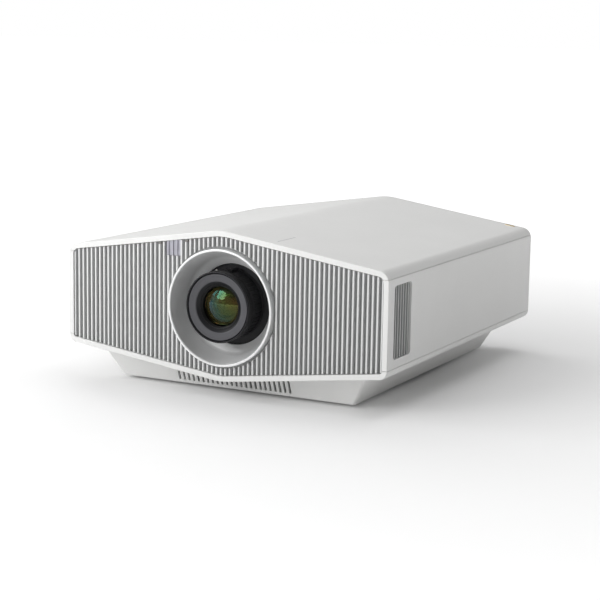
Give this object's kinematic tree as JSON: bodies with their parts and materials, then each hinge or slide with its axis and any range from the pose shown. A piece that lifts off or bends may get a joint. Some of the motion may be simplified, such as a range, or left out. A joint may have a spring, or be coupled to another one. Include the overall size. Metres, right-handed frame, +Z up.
{
  "type": "home cinema projector",
  "caption": "Home cinema projector: ridged white case on a tapered pedestal, ribbed front grille, lens in a bowl-shaped ring.",
  "frame": {"origin": "on the table, under the middle of the whole part's box", "axes": "+Z up, the lens looks along -Y, +X to the right as one faces the lens"},
  "size_m": [0.46, 0.5092, 0.213],
  "materials": {
    "case_white": "fine-textured white moulding",
    "grille_silver": "silver-grey satin plastic",
    "ring_silver": "satin silver paint",
    "vent_white": "white slats",
    "window_lavender": "tinted translucent",
    "lens_grey": "dark grey satin",
    "lens_black": "matt black",
    "lens_glass": "coated optical glass",
    "inner_glass": "coated optical glass",
    "pedestal_white": "fine-textured white moulding",
    "foot_rubber": "matt black rubber",
    "foot_plastic": "black moulded plastic",
    "filter_grey": "pleated filter paper in a frame",
    "screw_zinc": "dark zinc plate",
    "shift_steel": "stamped steel",
    "mount_aluminium": "cast aluminium",
    "chassis_steel": "zinc-plated sheet",
    "engine_aluminium": "die-cast",
    "prism_glass": "polished",
    "panel_dark": "black anodised",
    "laser_block": "machined",
    "copper_pipe": "copper",
    "fin_aluminium": "thin bright fins",
    "phosphor": "phosphor coating on a polished disc",
    "motor_steel": "dark steel",
    "fan_black": "black moulded plastic",
    "board_green": "solder-masked circuit board with parts",
    "board_brown": "power circuit board with parts",
    "rear_plate": "dark grey painted sheet",
    "socket_black": "black plastic and plated shells",
    "panel_grey": "grey satin plastic",
    "key_grey": "dark grey keys",
    "lamp_lens": "light guide"
  },
  "bodies": {
    "case": {"top_cover": "case_white", "bottom_cover": "case_white", "side_panel_left": "case_white", "side_panel_right": "case_white", "side_vent_left": "vent_white", "side_vent_right": "vent_white", "front_grille": "grille_silver", "ir_window": "window_lavender", "rear_cover": "case_white", "case_screws": "screw_zinc", "pedestal": "pedestal_white", "intake_filter": "filter_grey", "rear_feet": "foot_rubber", "lens_trim_ring": "ring_silver", "lens_mount": "mount_aluminium", "chassis": "chassis_steel", "engine_housing": "engine_aluminium", "prism_block": "prism_glass", "imaging_panels": "panel_dark", "relay_tube": "panel_dark", "phosphor_motor": "motor_steel", "laser_module": "laser_block", "heat_pipes": "copper_pipe", "heat_sink": "fin_aluminium", "fan_frames": "fan_black", "main_board": "board_green", "power_board": "board_brown", "terminal_plate": "rear_plate", "signal_sockets": "socket_black", "network_socket": "socket_black", "mains_inlet": "socket_black", "control_panel": "panel_grey", "status_lamp": "lamp_lens"},
    "shift_v": {"shift_plate_vertical": "shift_steel"},
    "shift_h": {"shift_plate_side": "shift_steel", "lens_barrel": "lens_black", "rear_lens": "inner_glass"},
    "focus": {"focus_ring": "lens_grey"},
    "front_group": {"front_lens_cell": "lens_grey", "front_lens": "lens_glass"},
    "zoom": {"zoom_ring": "lens_black"},
    "zoom_group": {"zoom_cell": "lens_black", "zoom_lens": "inner_glass"},
    "v_dial": {"vertical_shift_dial": "foot_plastic"},
    "h_dial": {"side_shift_dial": "foot_plastic"},
    "pad_left": {"foot_pad_left": "foot_rubber"},
    "pad_right": {"foot_pad_right": "foot_rubber"},
    "screw_left": {"foot_screw_left": "foot_plastic"},
    "screw_right": {"foot_screw_right": "foot_plastic"},
    "rotor_left": {"fan_rotor_left": "fan_black"},
    "rotor_right": {"fan_rotor_right": "fan_black"},
    "colour_wheel": {"phosphor_wheel": "phosphor"},
    "power_button": {"power_button": "key_grey"},
    "input_button": {"input_button": "key_grey"},
    "menu_button": {"menu_button": "key_grey"},
    "enter_button": {"enter_button": "key_grey"},
    "up_button": {"up_button": "key_grey"},
    "down_button": {"down_button": "key_grey"},
    "left_button": {"left_button": "key_grey"},
    "right_button": {"right_button": "key_grey"}
  },
  "joints": [
    {"name": "lens_shift_vertical", "type": "slide", "parent": "case", "child": "shift_v", "axis": [0, 0, 1], "range_m": [-0.0064, 0.0044]},
    {"name": "vertical_dial_turn", "type": "hinge", "parent": "case", "child": "v_dial", "pos_m": [0.078, -0.1389, 0.117], "axis": [0, 0, 1], "range_deg": [-1152.18, 792.18]},
    {"name": "lens_shift_side", "type": "slide", "parent": "shift_v", "child": "shift_h", "axis": [1, 0, 0], "range_m": [-0.0014, 0.0054]},
    {"name": "side_dial_turn", "type": "hinge", "parent": "shift_v", "child": "h_dial", "pos_m": [-0.002, -0.1474, 0.188], "axis": [1, 0, 0], "range_deg": [-252.18, 972.18]},
    {"name": "focus_travel", "type": "slide", "parent": "shift_h", "child": "front_group", "axis": [0, -1, 0], "range_m": [-0.002, 0.002]},
    {"name": "focus_turn", "type": "hinge", "parent": "shift_h", "child": "focus", "pos_m": [-0.002, -0.2494, 0.117], "axis": [0, -1, 0], "range_deg": [-60.05, 60.05]},
    {"name": "zoom_travel", "type": "slide", "parent": "shift_h", "child": "zoom_group", "axis": [0, -1, 0], "range_m": [-0.01, 0.01]},
    {"name": "zoom_turn", "type": "hinge", "parent": "shift_h", "child": "zoom", "pos_m": [-0.002, -0.2324, 0.117], "axis": [0, -1, 0], "range_deg": [-35.05, 35.05]},
    {"name": "foot_left_travel", "type": "slide", "parent": "case", "child": "pad_left", "axis": [0, 0, -1], "range_m": [0, 0.012]},
    {"name": "foot_left_turn", "type": "hinge", "parent": "pad_left", "child": "screw_left", "pos_m": [-0.138, -0.168, 0.01], "axis": [0, 0, 1], "range_deg": [0, 3456.3]},
    {"name": "foot_right_travel", "type": "slide", "parent": "case", "child": "pad_right", "axis": [0, 0, -1], "range_m": [0, 0.012]},
    {"name": "foot_right_turn", "type": "hinge", "parent": "pad_right", "child": "screw_right", "pos_m": [0.138, -0.168, 0.01], "axis": [0, 0, 1], "range_deg": [0, 3456.3]},
    {"name": "fan_left_spin", "type": "hinge", "parent": "case", "child": "rotor_left", "pos_m": [-0.2035, -0.1974, 0.113], "axis": [1, 0, 0], "continuous": true},
    {"name": "fan_right_spin", "type": "hinge", "parent": "case", "child": "rotor_right", "pos_m": [0.2035, -0.1974, 0.113], "axis": [1, 0, 0], "continuous": true},
    {"name": "phosphor_wheel_spin", "type": "hinge", "parent": "case", "child": "colour_wheel", "pos_m": [-0.0976, -0.0264, 0.116], "axis": [1, 0, 0], "continuous": true},
    {"name": "power_button_press", "type": "slide", "parent": "case", "child": "power_button", "axis": [0, -1, 0], "range_m": [0, 0.0008], "stiffness_N_per_m": 400, "springref_m": -0.0005},
    {"name": "input_button_press", "type": "slide", "parent": "case", "child": "input_button", "axis": [0, -1, 0], "range_m": [0, 0.0008], "stiffness_N_per_m": 400, "springref_m": -0.0005},
    {"name": "menu_button_press", "type": "slide", "parent": "case", "child": "menu_button", "axis": [0, -1, 0], "range_m": [0, 0.0008], "stiffness_N_per_m": 400, "springref_m": -0.0005},
    {"name": "enter_button_press", "type": "slide", "parent": "case", "child": "enter_button", "axis": [0, -1, 0], "range_m": [0, 0.0008], "stiffness_N_per_m": 400, "springref_m": -0.0005},
    {"name": "up_button_press", "type": "slide", "parent": "case", "child": "up_button", "axis": [0, -1, 0], "range_m": [0, 0.0008], "stiffness_N_per_m": 400, "springref_m": -0.0005},
    {"name": "down_button_press", "type": "slide", "parent": "case", "child": "down_button", "axis": [0, -1, 0], "range_m": [0, 0.0008], "stiffness_N_per_m": 400, "springref_m": -0.0005},
    {"name": "left_button_press", "type": "slide", "parent": "case", "child": "left_button", "axis": [0, -1, 0], "range_m": [0, 0.0008], "stiffness_N_per_m": 400, "springref_m": -0.0005},
    {"name": "right_button_press", "type": "slide", "parent": "case", "child": "right_button", "axis": [0, -1, 0], "range_m": [0, 0.0008], "stiffness_N_per_m": 400, "springref_m": -0.0005}
  ],
  "couplings": [
    {"joint": "vertical_dial_turn", "follows": "lens_shift_vertical", "rad_per_m": 3141.6},
    {"joint": "side_dial_turn", "follows": "lens_shift_side", "rad_per_m": 3141.6},
    {"joint": "focus_turn", "follows": "focus_travel", "rad_per_m": 523.6},
    {"joint": "zoom_turn", "follows": "zoom_travel", "rad_per_m": 61.087},
    {"joint": "foot_left_turn", "follows": "foot_left_travel", "rad_per_m": 5026.5},
    {"joint": "foot_right_turn", "follows": "foot_right_travel", "rad_per_m": 5026.5}
  ]
}
